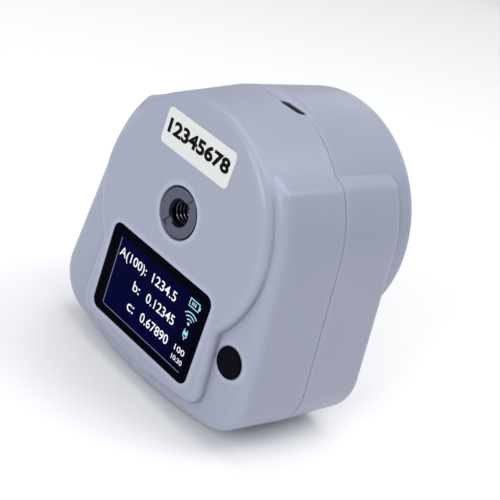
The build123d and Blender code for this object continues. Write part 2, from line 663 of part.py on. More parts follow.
def display_board():
    """Board behind the screen, with notches round the shell's bosses."""
    narrowing = (PARTING - DISPLAY_REAR) * math.tan(math.radians(BLOCK_DRAFT))
    face = block_face(WALL + BOARD_GAP + narrowing)
    face &= Pos(0, -DISPLAY_BOARD_TOP - AXIS_HEIGHT / 2) * Rectangle(4 * BLOCK_RADIUS, AXIS_HEIGHT)
    for place in shell_screw_places():
        face -= Pos(*place) * Circle(SHELL_BOSS_RADIUS + BOARD_GAP)
    for place in standoff_places():
        face -= Pos(*place) * Circle(BOARD_HOLE)
    return slab(face, DISPLAY_REAR, DISPLAY_FRONT)


def main_board():
    """Board at the joint, in the housing's own outline."""
    face = housing_face(WALL + BOARD_GAP + LIP_CLEARANCE)
    for place in shell_screw_places():
        face -= Pos(*place) * Circle(SHELL_BOSS_RADIUS + BOARD_GAP / 2)
    for place in standoff_places():
        face -= Pos(*place) * Circle(BOARD_HOLE)
    board = slab(face, MAIN_REAR, MAIN_FRONT)
    # Room for the thickened shell round the port
    pad = Rectangle(SCOOP_LENGTH + 2 * PORT_PAD + BOARD_GAP, 2 * PORT_PAD_DEPTH + BOARD_GAP)
    return board - slab(Pos(PORT_X, HEAD_RADIUS - SCOOP_DEPTH) * pad, MAIN_REAR, MAIN_FRONT)


def standoff(place):
    hexagon = RegularPolygon(STANDOFF_FLATS / 2, 6, major_radius=False)
    body = slab(Pos(*place) * hexagon, DISPLAY_FRONT, MAIN_REAR)
    return body - disc(STANDOFF_BORE, MAIN_REAR - BOARD_SCREW_BITE - MARGIN, MAIN_REAR, place)


def cell_outline(growth=0.0):
    outline = RectangleRounded(CELL_WIDTH + 2 * growth, CELL_HEIGHT + 2 * growth, CELL_ROUND + growth)
    return Pos(0, CELL_MIDDLE) * outline


def battery_cradle():
    """Moulded tray on the main board, held by the board's own four screws."""
    low = standoff_places()[1][1]
    width = 2 * (STANDOFF_X + CRADLE_EAR)
    height = 2 * CRADLE_EAR - STANDOFF_HIGH - low
    plate = Pos(0, (low - STANDOFF_HIGH) / 2) * RectangleRounded(width, height, CRADLE_EAR)
    tray = slab(plate, MAIN_FRONT, CRADLE_FRONT)
    tray += slab(cell_outline(CELL_GAP + CRADLE_WALL), MAIN_FRONT, CRADLE_FRONT + CRADLE_HEIGHT)
    tray -= slab(cell_outline(CELL_GAP), CRADLE_FRONT, CRADLE_FRONT + CRADLE_HEIGHT)
    for place in standoff_places():
        tray -= disc(BOARD_HOLE, MAIN_FRONT, CRADLE_FRONT, place)
    return tray


def battery_leads():
    """Two insulated wires from the cell's tabs to the connector on the main board."""
    cell_top = CELL_MIDDLE + CELL_HEIGHT / 2
    leave = CELL_BACK + CELL_THICKNESS - LEAD_FROM_FRONT
    arrive = MAIN_FRONT + PLUG_HEIGHT / 2
    plug_foot = -PLUG_DROP - PLUG_LENGTH / 2
    straight = 6 * LEAD_RADIUS
    corners = [
        (leave, cell_top), (leave, cell_top + straight),
        (arrive, plug_foot - straight), (arrive, plug_foot),
    ]
    route = FilletPolyline(*[(REAR_Y + d, AXIS_HEIGHT + h) for d, h in corners], radius=2 * LEAD_RADIUS)
    leads = []
    for side in (-1, 1):
        path = Plane.YZ.offset(side * LEAD_PITCH / 2 - PLUG_X) * route
        leads.append(sweep((path ^ 0) * Circle(LEAD_RADIUS), path=path))
    return group(leads)


def lcd_outline(growth=0.0):
    margin = 2 * (LCD_MARGIN + growth - LEDGE)
    return Pos(0, -WINDOW_DROP) * Rectangle(WINDOW_WIDTH + margin, WINDOW_HEIGHT + margin)


def lcd_carrier():
    """Moulded frame that holds the LCD off the display board."""
    wall = CARRIER_GAP + CARRIER_WALL
    frame = slab(lcd_outline(wall), LCD_REAR + GASKET, DISPLAY_REAR)
    frame -= slab(lcd_outline(CARRIER_GAP), LCD_REAR + GASKET, LCD_FRONT)
    return frame - slab(lcd_outline(-CARRIER_WALL), LCD_FRONT, DISPLAY_REAR)


def lcd_flex():
    """Ribbon from the back of the LCD to the display board, in one S bend."""
    rear = LCD_FRONT + FLEX / 2
    front = DISPLAY_REAR - FLEX / 2
    top = FLEX_LAP * 1.5 - WINDOW_DROP
    heights = [top, top - FLEX_LAP, top - 2 * FLEX_LAP, top - 3 * FLEX_LAP]
    depths = [rear, rear, front, front]
    corners = [(REAR_Y + d, AXIS_HEIGHT + h) for d, h in zip(depths, heights)]
    path = FilletPolyline(*corners, radius=FLEX_BEND)
    return extrude(Plane.YZ * trace(path, FLEX), amount=FLEX_WIDTH / 2, both=True)


def power_button():
    place = (BUTTON_X, -BUTTON_DROP)
    cap = disc(BUTTON_RADIUS, BUTTON_FACE, INNER_RECESS, place)
    cap = fillet(cap.faces().sort_by(Axis.Y)[0].edges(), BUTTON_DOME)
    return cap + disc(BUTTON_FLANGE_RADIUS, INNER_RECESS, BUTTON_BACK, place)


def tact_switch():
    """Switch body with the bore that guides its plunger."""
    place = (BUTTON_X, -BUTTON_DROP)
    body = slab(Pos(*place) * Rectangle(SWITCH_SIZE, SWITCH_SIZE), SWITCH_TOP, DISPLAY_REAR)
    depth = PLUNGER_GUIDE + BUTTON_TRAVEL + PLUNGER_ROOM
    return body - disc(PLUNGER_RADIUS + PLUNGER_GAP, SWITCH_TOP, SWITCH_TOP + depth, place)


def tripod_bush():
    """Slotted, flanged bush with the tripod thread; the thread is plain here."""
    place = (0, TRIPOD_RISE)
    bush = disc(BUSH_FLANGE_RADIUS, BUSH_SINK, BUSH_SEAT, place)
    bush += disc(BUSH_RADIUS, BUSH_SEAT, BUSH_SEAT + BUSH_LENGTH, place)
    slot = Pos(*place) * Rot(0, 0, BUSH_SLOT_ANGLE) * Rectangle(3 * BUSH_FLANGE_RADIUS, BUSH_SLOT_WIDTH)
    bush = chamfer(bush.edges().sort_by(Axis.Y)[0], BUSH_FLANGE_EDGE)
    bush -= slab(slot, BUSH_SINK, BUSH_SINK + BUSH_SLOT_DEPTH)
    bush -= slab(Pos(*place) * Circle(BUSH_BORE), BUSH_SINK, BUSH_SINK + BUSH_CHAMFER, -45)
    return bush - disc(BUSH_BORE, BUSH_SINK, BUSH_SEAT + BUSH_LENGTH, place)


def tripod_nut():
    """Brass block behind the panel that takes the bush."""
    square = RectangleRounded(NUT_SIZE, NUT_SIZE, NUT_CORNER)
    nut = slab(Pos(0, TRIPOD_RISE) * square, INNER_REAR, NUT_FRONT)
    return nut - disc(BUSH_RADIUS + NUT_THREAD_GAP, INNER_REAR, NUT_FRONT, (0, TRIPOD_RISE))


def nut_bridge():
    """Steel strap that holds the brass block against the panel."""
    length = 2 * (BRIDGE_SCREW_X + BRIDGE_BOSS_RADIUS)
    strap = RectangleRounded(length, BRIDGE_WIDTH, BRIDGE_CORNER) - Circle(BRIDGE_HOLE)
    for side in (-1, 1):
        strap -= Pos(side * BRIDGE_SCREW_X, 0) * Circle(SMALL_HOLE)
    return slab(Pos(0, TRIPOD_RISE) * strap, NUT_FRONT, BRIDGE_FRONT)


def port_outline(growth=0.0):
    """Round-ended outline of the socket, grown by a margin."""
    return SlotOverall(PORT_WIDTH + 2 * growth, PORT_HEIGHT + 2 * growth)


def usb_receptacle():
    mouth = port_plane(HEAD_RADIUS - SCOOP_DEPTH)
    return extrude(mouth * (port_outline() - port_outline(-PORT_SHEET)), amount=-PORT_LENGTH)


def usb_tongue():
    foot = port_plane(HEAD_RADIUS - SCOOP_DEPTH - PORT_LENGTH)
    base = extrude(foot * port_outline(-PORT_SHEET), amount=TONGUE_BASE)
    return base + extrude(foot * Rectangle(TONGUE_WIDTH, TONGUE), amount=PORT_LENGTH - TONGUE_SETBACK)


def block(width, height, x, z, rear, front):
    """Plain electronic part on a board."""
    return slab(Pos(x, z) * Rectangle(width, height), rear, front)


def sub_parts():
    """Every node by its name."""
    chamber_top = TUBE_REAR + CHAMBER_LENGTH
    flange_rear = BULKHEAD_REAR - TUBE_FLANGE
    lens_front = LENS_SEAT + LENS_EDGE
    label = RectangleRounded(LABEL_WIDTH, LABEL_HEIGHT, LABEL_CORNER)
    label = Pos(LABEL_X, LABEL_RISE) * Rot(0, 0, LABEL_TILT) * label
    sensor_board = Circle(SENSOR_BOARD_RADIUS)
    for place in sensor_screw_places():
        sensor_board -= Pos(*place) * Circle(SMALL_HOLE)
    tube_screw = TUBE_FLANGE + TUBE_SCREW_BITE - SMALL_END_GAP
    sensor_screw = BOARD + SENSOR_SCREW_BITE - SMALL_END_GAP
    bridge_screw = BRIDGE + BRIDGE_SCREW_BITE - SMALL_END_GAP
    small = (SMALL_HEAD_RADIUS, SMALL_HEAD_HEIGHT, SMALL_SOCKET)
    button = (BUTTON_X, -BUTTON_DROP)
    return {
        "rear_shell": rear_shell(),
        "front_shell": front_shell(),
        "shell_screws": group(
            screw(place, SHELL_HEAD_SEAT, SHELL_SCREW_RADIUS, SHELL_SCREW_LENGTH,
                  SHELL_HEAD_RADIUS, SHELL_HEAD_HEIGHT, SHELL_SOCKET_SIZE)
            for place in shell_screw_places()),
        "threaded_inserts": group(
            disc(INSERT_RADIUS, PARTING - INSERT_SINK - INSERT_LENGTH, PARTING - INSERT_SINK, place)
            - disc(INSERT_BORE, 0, PARTING, place)
            for place in shell_screw_places()),
        "front_hood": front_hood(),
        "lens_barrel": lens_barrel(),
        "lens_barrel_screws": group(
            screw(place, flange_rear, SMALL_SCREW_RADIUS, tube_screw, *small, facing=-1)
            for place in tube_screw_places()),
        "objective_lens": objective_lens(),
        "lens_washer": ring(TUBE_BORE, LENS_RADIUS, lens_front, lens_front + WASHER),
        "lens_retaining_ring": retaining_ring(),
        "aperture_stop": ring(STOP_HOLE, TUBE_BORE - LENS_GAP, chamber_top, chamber_top + STOP_PLATE),
        "optical_filter": disc(CHAMBER_BORE - LENS_GAP, chamber_top - FILTER_THICKNESS, chamber_top),
        "colour_sensor": block(SENSOR_SIZE, SENSOR_SIZE, 0, 0, TUBE_REAR, TUBE_REAR + SENSOR_HEIGHT),
        "sensor_board": slab(sensor_board, SENSOR_BOARD_REAR, TUBE_REAR),
        "sensor_board_screws": group(
            screw(place, SENSOR_BOARD_REAR, SMALL_SCREW_RADIUS, sensor_screw, *small, facing=-1)
            for place in sensor_screw_places()),
        "sensor_connector": block(SOCKET_WIDTH, SOCKET_DEEP, 0, SOCKET_RISE,
                                  MAIN_FRONT, SENSOR_BOARD_REAR),
        "main_board": main_board(),
        "processor": block(PROCESSOR_SIZE, PROCESSOR_SIZE, -PROCESSOR_SIZE, PROCESSOR_RISE,
                           MAIN_REAR - PROCESSOR_HEIGHT, MAIN_REAR),
        "radio_module": block(RADIO_WIDTH, RADIO_LENGTH, RADIO_X, RADIO_RISE,
                              MAIN_REAR - RADIO_HEIGHT, MAIN_REAR),
        "board_screws": group(
            screw(place, CRADLE_FRONT, BOARD_SCREW_RADIUS, CRADLE_FLOOR + BOARD + BOARD_SCREW_BITE,
                  BOARD_HEAD_RADIUS, BOARD_HEAD_HEIGHT, SMALL_SOCKET)
            for place in standoff_places()),
        "board_standoffs": group(standoff(place) for place in standoff_places()),
        "board_header": block(HEADER_WIDTH, HEADER_DEEP, 0, -HEADER_DROP, DISPLAY_FRONT, MAIN_REAR),
        "display_board": display_board(),
        "lcd_carrier": lcd_carrier(),
        "lcd_panel": slab(lcd_outline(), LCD_REAR, LCD_FRONT),
        "lcd_gasket": slab(window_face(GASKET_WIDTH - LEDGE) - window_face(-LEDGE), INNER_REAR, LCD_REAR),
        "lcd_flex": lcd_flex(),
        "display_window": slab(window_face(0), WINDOW_SINK, WINDOW_SINK + WINDOW),
        "window_tape": slab(window_face(0) - window_face(-LEDGE), WINDOW_SINK + WINDOW, WINDOW_SEAT),
        "power_button": power_button(),
        "switch_plunger": disc(PLUNGER_RADIUS, BUTTON_BACK, SWITCH_TOP + PLUNGER_GUIDE, button),
        "tact_switch": tact_switch(),
        "tripod_bush": tripod_bush(),
        "tripod_nut": tripod_nut(),
        "nut_bridge": nut_bridge(),
        "bridge_screws": group(
            screw((side * BRIDGE_SCREW_X, TRIPOD_RISE), BRIDGE_FRONT, SMALL_SCREW_RADIUS,
                  bridge_screw, *small)
            for side in (-1, 1)),
        "battery_cell": slab(cell_outline(), CELL_BACK, CELL_BACK + CELL_THICKNESS),
        "battery_pad": slab(cell_outline(-CELL_PAD_INSET), CRADLE_FRONT, CELL_BACK),
        "battery_cradle": battery_cradle(),
        "battery_connector": block(PLUG_WIDTH, PLUG_LENGTH, -PLUG_X, -PLUG_DROP,
                                   MAIN_FRONT, MAIN_FRONT + PLUG_HEIGHT),
        "battery_leads": battery_leads(),
        "usb_receptacle": usb_receptacle(),
        "usb_tongue": usb_tongue(),
        "serial_label": slab(label, -LABEL, 0),
    }


os.makedirs("parts", exist_ok=True)
for name, solid in sub_parts().items():
    export_step(solid, f"parts/{name}.step")
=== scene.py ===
import json
import math

import bmesh
import bpy
from mathutils import Matrix, Vector


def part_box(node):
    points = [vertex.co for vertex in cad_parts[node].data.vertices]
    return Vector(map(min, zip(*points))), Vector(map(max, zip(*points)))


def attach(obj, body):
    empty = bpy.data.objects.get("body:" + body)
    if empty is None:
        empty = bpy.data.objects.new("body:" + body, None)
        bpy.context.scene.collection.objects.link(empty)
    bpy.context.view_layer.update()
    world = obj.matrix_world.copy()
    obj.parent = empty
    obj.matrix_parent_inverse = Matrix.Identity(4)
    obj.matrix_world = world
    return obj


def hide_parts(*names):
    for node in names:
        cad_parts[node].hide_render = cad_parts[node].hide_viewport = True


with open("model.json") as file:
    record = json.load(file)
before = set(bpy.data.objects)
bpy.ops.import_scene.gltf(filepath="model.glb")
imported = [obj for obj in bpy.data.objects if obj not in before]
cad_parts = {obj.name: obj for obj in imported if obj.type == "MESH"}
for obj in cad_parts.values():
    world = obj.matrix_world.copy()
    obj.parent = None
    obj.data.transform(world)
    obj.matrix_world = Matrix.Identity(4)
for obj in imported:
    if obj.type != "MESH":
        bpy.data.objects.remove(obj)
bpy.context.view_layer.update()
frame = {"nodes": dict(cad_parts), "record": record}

# Handheld colorimeter for displays, seen from its screen side. Sizes are in mm where a name
# or a comment says nothing else. On the rear side, x counts to the right and rise upwards
# from the optical axis.
MM = 0.001
MICRON = 0.000001
nodes = frame["nodes"]


def middle(node):
    """Middle of a CAD node's box, in metres."""
    low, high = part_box(node)
    return (Vector(low) + Vector(high)) / 2


def rear_face(node):
    """Depth of a CAD node's rearmost face, in metres."""
    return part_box(node)[0][1]


AXIS = Vector((0.0, rear_face("rear_shell"), middle("objective_lens").z))
JOINT = rear_face("front_shell")        # depth of the joint between the shells, in metres


# Camera

CAMERA_AZIMUTH, CAMERA_ELEVATION, CAMERA_ROLL = 38.98, 24.13, 19.78     # degrees
CAMERA_DISTANCE = 300.0                          # from the rear face on the optical axis
CAMERA_SIDE, CAMERA_LIFT = 19.084, -8.555        # shift across the view and up it
CAMERA_LENS = 83.04
CAMERA_SENSOR = 36.0


def make_camera():
    """Camera at the photograph's viewing angle."""
    azimuth = math.radians(CAMERA_AZIMUTH)
    elevation = math.radians(CAMERA_ELEVATION)
    roll = math.radians(CAMERA_ROLL)
    back = Vector((math.sin(azimuth) * math.cos(elevation),
                   -math.cos(azimuth) * math.cos(elevation), math.sin(elevation)))
    level = Vector((0, 0, 1)).cross(back).normalized()
    upright = back.cross(level)
    across = math.cos(roll) * level + math.sin(roll) * upright
    up = math.cos(roll) * upright - math.sin(roll) * level
    data = bpy.data.cameras.new("camera")
    data.sensor_width = CAMERA_SENSOR
    data.lens = CAMERA_LENS
    data.clip_start = 0.01
    camera = bpy.data.objects.new("camera", data)
    bpy.context.scene.collection.objects.link(camera)
    place = AXIS + (CAMERA_DISTANCE * back + CAMERA_SIDE * across + CAMERA_LIFT * up) * MM
    turn = Matrix((across, up, back)).transposed().to_4x4()
    camera.matrix_world = Matrix.Translation(place) @ turn
    bpy.context.scene.camera = camera


# Light and floor

LIGHTS = (
    # name, place in metres, size in metres, power in watts
    ("key", (0.06, -0.72, 0.43), (0.40, 0.40), 2.2),
    ("side", (0.34, -0.54, 0.54), (0.20, 0.20), 0.35),
    ("spark", (0.264, -0.705, 0.376), (0.05, 0.05), 0.6),
    ("top", (0.0, 0.10, 0.80), (0.7, 0.7), 2.9),
    ("rim", (0.36, 0.34, 0.72), (0.4, 0.4), 1.5),
    ("back", (-0.25, 0.75, 0.35), (0.6, 0.5), 0.5),
    ("fill", (-0.70, -0.50, 0.20), (0.6, 0.6), 0.2),
)
STUDIO_COLOUR = (0.95, 0.97, 1.0)
STUDIO_STRENGTH = 0.47
FLOOR_HALF = 20.0        # metres


def make_lights():
    """Soft lights that face the object, and a pale studio round it."""
    target = middle("main_board")
    for name, place, size, power in LIGHTS:
        data = bpy.data.lights.new(name, "AREA")
        data.shape = "RECTANGLE"
        data.size, data.size_y = size
        data.energy = power
        light = bpy.data.objects.new(name, data)
        bpy.context.scene.collection.objects.link(light)
        light.location = place
        light.rotation_euler = (Vector(place) - target).to_track_quat("Z", "Y").to_euler()
    world = bpy.data.worlds.new("studio")
    world.use_nodes = True
    background = world.node_tree.nodes["Background"]
    background.inputs["Color"].default_value = (*STUDIO_COLOUR, 1)
    background.inputs["Strength"].default_value = STUDIO_STRENGTH
    bpy.context.scene.world = world
    bpy.context.scene.view_settings.view_transform = "Standard"


def make_floor(material):
    """Plain floor, which is no part of the object."""
    mesh = bpy.data.meshes.new("floor")
    corners = ((-1, -1), (1, -1), (1, 1), (-1, 1))
    mesh.from_pydata([(x * FLOOR_HALF, y * FLOOR_HALF, 0) for x, y in corners], [], [(0, 1, 2, 3)])
    mesh.materials.append(material)
    floor = bpy.data.objects.new("floor", mesh)
    bpy.context.scene.collection.objects.link(floor)


# Materials. Texture scales are per metre, because the coordinates are in metres.

EDGE_SAMPLES, OPENNESS_SAMPLES = 4, 8


def scaled(colour, factor, lift=0.0):
    """Lighter or darker colour."""
    return [lift + channel * factor for channel in colour]


class Paint:
    """A principled material, with short calls for the nodes that feed it."""

    def __init__(self, name, colour, roughness, metallic=0.0, **values):
        self.material = bpy.data.materials.new(name)
        self.material.use_nodes = True
        self.tree = self.material.node_tree
        self.shader = self.tree.nodes["Principled BSDF"]
        self.colour = colour
        self.set(Base_Color=(*colour, 1), Roughness=roughness, Metallic=metallic, **values)
        self.place = self.add("TexCoord").outputs["Object"]

    def set(self, **values):
        """Sets the shader's sockets or links them; an underscore stands for a space."""
        self.feed(self.shader, {key.replace("_", " "): value for key, value in values.items()})

    def feed(self, node, values):
        """Sets a node's sockets or links them."""
        for key, value in values.items():
            if isinstance(value, bpy.types.NodeSocket):
                self.tree.links.new(value, node.inputs[key])
            else:
                node.inputs[key].default_value = value

    def add(self, kind, settings=None, values=None):
        """New shader node with its settings and sockets."""
        node = self.tree.nodes.new("ShaderNode" + kind)
        for key, value in (settings or {}).items():
            setattr(node, key, value)
        self.feed(node, values or {})
        return node

    def noise(self, scale, detail=2.0, stretch=(1, 1, 1)):
        """Noise from 0 to 1; stretch multiplies the scale along each axis."""
        moved = self.add("Mapping", values={"Vector": self.place, "Scale": stretch})
        values = {"Vector": moved.outputs[0], "Scale": scale, "Detail": detail}
        return self.add("TexNoise", values=values).outputs[0]

    def cells(self, scale, feature="F1", randomness=1.0):
        """Distances in a pattern of cells."""
        values = {"Vector": self.place, "Scale": scale, "Randomness": randomness}
        return self.add("TexVoronoi", {"feature": feature}, values).outputs["Distance"]

    def math(self, operation, a, b=0.0):
        """Sum, product or the like of one or two values."""
        return self.add("Math", {"operation": operation}, {0: a, 1: b}).outputs[0]

    def waves(self, value, pitch):
        """Sine of value, with a pitch in mm."""
        return self.math("SINE", self.math("MULTIPLY", value, 2 * math.pi / (pitch * MM)))

    def level(self, value, low, high, to_low=0.0, to_high=1.0):
        """Maps low..high to to_low..to_high and stops at both ends."""
        values = {0: value, 1: low, 2: high, 3: to_low, 4: to_high}
        return self.add("MapRange", values=values).outputs[0]

    def vary(self, noise, to_low, to_high):
        """Maps the range that holds most of a noise to to_low..to_high."""
        return self.level(noise, 0.3, 0.7, to_low, to_high)

    def blend(self, factor, first, second):
        """Colour between two colours."""
        first, second = (colour if isinstance(colour, bpy.types.NodeSocket) else (*colour, 1)
                         for colour in (first, second))
        values = {0: factor, 6: first, 7: second}
        return self.add("Mix", {"data_type": "RGBA"}, values).outputs[2]

    def axes(self):
        """The coordinates X, Y and Z of the shaded point, in metres."""
        return self.add("SeparateXYZ", values={0: self.place}).outputs

    def radius(self, centre):
        """Distance from a line along the depth through centre, in metres."""
        flat = self.add("VectorMath", {"operation": "MULTIPLY"}, {0: self.place, 1: (1, 0, 1)})
        ends = {0: flat.outputs[0], 1: (centre.x, 0, centre.z)}
        return self.add("VectorMath", {"operation": "DISTANCE"}, ends).outputs["Value"]

    def soft_edges(self, size):
        """Normal with its edges rounded by size, and how near an edge the point is."""
        bevel = self.add("Bevel", {"samples": EDGE_SAMPLES}, {"Radius": size * MM}).outputs[0]
        flat = self.add("NewGeometry").outputs["Normal"]
        normals = {0: bevel, 1: flat}
        match = self.add("VectorMath", {"operation": "DOT_PRODUCT"}, normals).outputs["Value"]
        return bevel, self.level(match, 0.86, 0.995, 1.0, 0.0)

    def openness(self, reach, inside=False):
        """Share of the surroundings that is open; inside looks into the solid instead."""
        settings = {"samples": OPENNESS_SAMPLES, "inside": inside}
        return self.add("AmbientOcclusion", settings, {"Distance": reach * MM}).outputs["AO"]

    def bump(self, height, depth, normal=None):
        """Bump with a depth in microns."""
        values = {"Height": height, "Distance": depth * MICRON, "Strength": 1.0}
        if normal:
            values["Normal"] = normal
        self.set(Normal=self.add("Bump", values=values).outputs[0])

    def shade(self, amount, factor):
        """The material's colour made brighter or darker by amount as factor goes from 0 to 1."""
        low, high = scaled(self.colour, 1 - amount), scaled(self.colour, 1 + amount)
        return self.blend(factor, low, high)


ROUNDING_REACH = 1.9                     # how far into the solid an outer rounding is felt
JOINT_BAND, JOINT_FADE = 2.0, 3.4        # no painted highlight up to the first, painted highlight in full from the second
CREASE_REACH = 3.0                       # how far off a face shelters a crease
CREASE_SHADE_LOW, CREASE_SHADE_HIGH = -5.0, 11.0       # rises between which the painted shade in the creases fades
CREASE_SHADE_FORWARD = 10.0                     # from the joint to where the painted crease shade is full at every rise


def paint_rounding_highlight(paint, base):
    """Painted highlight: lightens the outer roundings, but hardly those at the joint between the
    shells.
    """
    rounding_highlight = paint.level(paint.openness(ROUNDING_REACH, inside=True), 0.82, 0.97, 0.80, 0.0)
    distance = paint.math("ABSOLUTE", paint.math("SUBTRACT", paint.axes()["Y"], JOINT))
    clear = paint.level(distance, JOINT_BAND * MM, JOINT_FADE * MM, 0.1, 1.0)
    # Painted highlight: roundings lightened to 1.3 times the colour
    return paint.blend(paint.math("MULTIPLY", rounding_highlight, clear), base, scaled(paint.colour, 1.30))


def paint_crease_shade(paint, base, amount):
    """Painted shade: darkens the creases, low down, and at every rise well in front of the joint.
    """
    crease = paint.level(paint.openness(CREASE_REACH), 0.45, 0.95, amount, 0.0)
    low, high = AXIS.z + CREASE_SHADE_LOW * MM, AXIS.z + CREASE_SHADE_HIGH * MM
    sheltered = paint.level(paint.axes()["Z"], low, high, 1.0, 0.1)
    forward = paint.level(paint.axes()["Y"], JOINT, JOINT + CREASE_SHADE_FORWARD * MM)
    crease = paint.math("MULTIPLY", crease, paint.math("MAXIMUM", sheltered, forward))
    # Painted shade: creases darkened towards 0.45 of the colour
    return paint.blend(crease, base, scaled(paint.colour, 0.45))


def moulded(name, colour, roughness, grain=2600, edge=0.25, wear_and_sheen_shown=0.35, painted_light_and_shade=0.0, **values):
    """Moulded plastic with a spark-eroded grain and edges polished by handling; on the shell their
    lighter tone is raised to be partly painted highlight.

    With painted light and shade, its outer roundings get a painted highlight and its creases
    painted shade."""
    paint = Paint(name, colour, roughness, **values)
    normal, wear = paint.soft_edges(edge)
    worn = paint.math("MULTIPLY", wear, wear_and_sheen_shown)
    # Lighter edges: wear, and on the shell partly painted highlight
    tone = paint.blend(worn, paint.shade(0.035, paint.noise(55, 3)), scaled(colour, 1.25, 0.02))
    if painted_light_and_shade:
        tone = paint_crease_shade(paint, paint_rounding_highlight(paint, tone), painted_light_and_shade)
    dull = paint.vary(paint.noise(420, 4), roughness - 0.05, roughness + 0.06)
    polish = paint.math("MULTIPLY", wear, 0.10)
    paint.set(Base_Color=tone, Roughness=paint.math("SUBTRACT", dull, polish))
    paint.bump(paint.noise(grain, 3), 9.0, normal)
    return paint.material


def brushed(name, colour, roughness):
    """Drawn or ground metal with fine level scratches."""
    paint = Paint(name, colour, roughness, metallic=1.0)
    scratches = paint.noise(900, 4, (1, 1, 30))
    normal, wear = paint.soft_edges(0.12)
    worn = paint.math("MULTIPLY", wear, 0.5)
    paint.set(Base_Color=paint.blend(worn, paint.shade(0.10, scratches), scaled(colour, 1.3)))
    paint.set(Roughness=paint.vary(scratches, roughness - 0.07, roughness + 0.09))
    paint.bump(scratches, 4.0, normal)
    return paint.material


def turned(name, colour, roughness, centre, pitch=0.16, unshaded_from=0.0, unshaded_to=100.0):
    """Lathe-turned metal with fine rings about one axis, with painted shade, near black, outside a
    range of radii.
    """
    paint = Paint(name, colour, roughness, metallic=1.0)
    radius = paint.radius(centre)
    stains = paint.noise(380, 4)
    normal, wear = paint.soft_edges(0.12)
    worn = paint.math("MULTIPLY", wear, 0.7)
    tone = paint.blend(worn, paint.shade(0.12, stains), scaled(colour, 1.6, 0.08))
    outside = paint.level(radius, (unshaded_from - 0.05) * MM, (unshaded_from + 0.05) * MM)
    within = paint.level(radius, (unshaded_to - 0.08) * MM, (unshaded_to + 0.08) * MM, 1.0, 0.0)
    unshaded = paint.math("MULTIPLY", outside, within)
    # Painted shade: near black inside the mouth and beyond the rim radius
    paint.set(Base_Color=paint.blend(unshaded, scaled(colour, 0.12), tone))
    paint.set(Roughness=paint.vary(stains, roughness - 0.06, roughness + 0.08))
    paint.bump(paint.waves(radius, pitch), 2.0, normal)
    return paint.material


def glass(name, colour, film):
    """Coated optical glass; film is the coating's thickness in nanometres."""
    paint = Paint(name, colour, 0.0, Transmission_Weight=1.0, IOR=1.52,
                  Thin_Film_Thickness=film, Thin_Film_IOR=1.38)
    paint.set(Base_Color=paint.shade(0.02, paint.noise(90, 3)))
    return paint.material


def circuit_board():
    """Solder mask over copper tracks, with gold pads."""
    paint = Paint("circuit_board", (0.012, 0.085, 0.045), 0.34,
                  Coat_Weight=0.3, Coat_Roughness=0.15)
    track = paint.level(paint.cells(420.0, "DISTANCE_TO_EDGE", 0.55), 0.05, 0.09, 1.0, 0.0)
    pad = paint.level(paint.cells(520.0, randomness=0.9), 0.16, 0.19, 1.0, 0.0)
    masked = paint.blend(track, paint.shade(0.15, paint.noise(90)), (0.03, 0.19, 0.09))
    paint.set(Base_Color=paint.blend(pad, masked, (0.83, 0.62, 0.22)), Metallic=pad)
    paint.bump(paint.math("ADD", track, pad), 18.0)
    return paint.material


def battery_foil():
    """Crinkled pouch foil with an amber tape across its upper end."""
    metallic, tape_width = 0.9, 4.0
    paint = Paint("battery_foil", (0.62, 0.63, 0.64), 0.32, metallic)
    tape_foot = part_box("battery_cell")[1][2] - tape_width * MM
    tape = paint.level(paint.axes()["Z"], tape_foot, tape_foot + 0.05 * MM)
    foil = paint.shade(0.08, paint.noise(160))
    paint.set(Base_Color=paint.blend(tape, foil, (0.55, 0.26, 0.03)))
    paint.set(Metallic=paint.math("SUBTRACT", metallic, paint.math("MULTIPLY", tape, metallic)))
    paint.bump(paint.noise(240, 5), 60.0)
    return paint.material


def ribbon_cable():
    """Amber polyimide with copper tracks along it."""
    paint = Paint("ribbon_cable", (0.48, 0.20, 0.03), 0.3, Coat_Weight=0.4)
    track = paint.level(paint.waves(paint.axes()["X"], 0.5), -0.1, 0.1)
    film = paint.shade(0.1, paint.noise(300))
    paint.set(Base_Color=paint.blend(track, film, (0.62, 0.31, 0.10)))
    paint.bump(track, 12.0)
    return paint.material


def lead_insulation():
    """Red and black silicone on the two battery leads."""
    paint = Paint("lead_insulation", (0.45, 0.012, 0.01), 0.45)
    between, half = middle("battery_leads").x, 0.01 * MM
    right = paint.level(paint.axes()["X"], between - half, between + half)
    red = paint.shade(0.15, paint.noise(500))
    paint.set(Base_Color=paint.blend(right, (0.012, 0.012, 0.013), red))
    paint.bump(paint.noise(2500), 8.0)
    return paint.material


def foam():
    """Soft open-cell gasket foam."""
    paint = Paint("foam", (0.022, 0.022, 0.024), 0.9)
    cells = paint.cells(2600.0)
    paint.set(Base_Color=paint.shade(0.4, cells))
    paint.bump(cells, 60.0)
    return paint.material


def label_film():
    """White printed film with a faint paper grain."""
    paint = Paint("label_film", (0.62, 0.635, 0.62), 0.42, Coat_Weight=0.15, Coat_Roughness=0.3)
    paint.set(Base_Color=paint.shade(0.02, paint.noise(700, 4)))
    paint.set(Roughness=paint.vary(paint.noise(250), 0.36, 0.5))
    paint.bump(paint.noise(3800, 3), 3.0)
    return paint.material


def label_ink():
    """Printed black, slightly uneven."""
    paint = Paint("label_ink", (0.0012, 0.0012, 0.0015), 0.5, Specular_IOR_Level=0.05)
    paint.set(Base_Color=paint.shade(0.5, paint.noise(1400, 4)))
    paint.bump(paint.noise(3800, 3), 3.0)
    return paint.material


SCREEN_AREA = (-17.2, 18.9), (-37.3, -15.3)      # left and right, foot and top of the lit area
SCREEN_SOFT = 0.06                               # blur of its border
FADE_FROM, FADE_TO = 10.5, 16.0                  # the glow fades towards the row of signs
PIXEL = 0.14


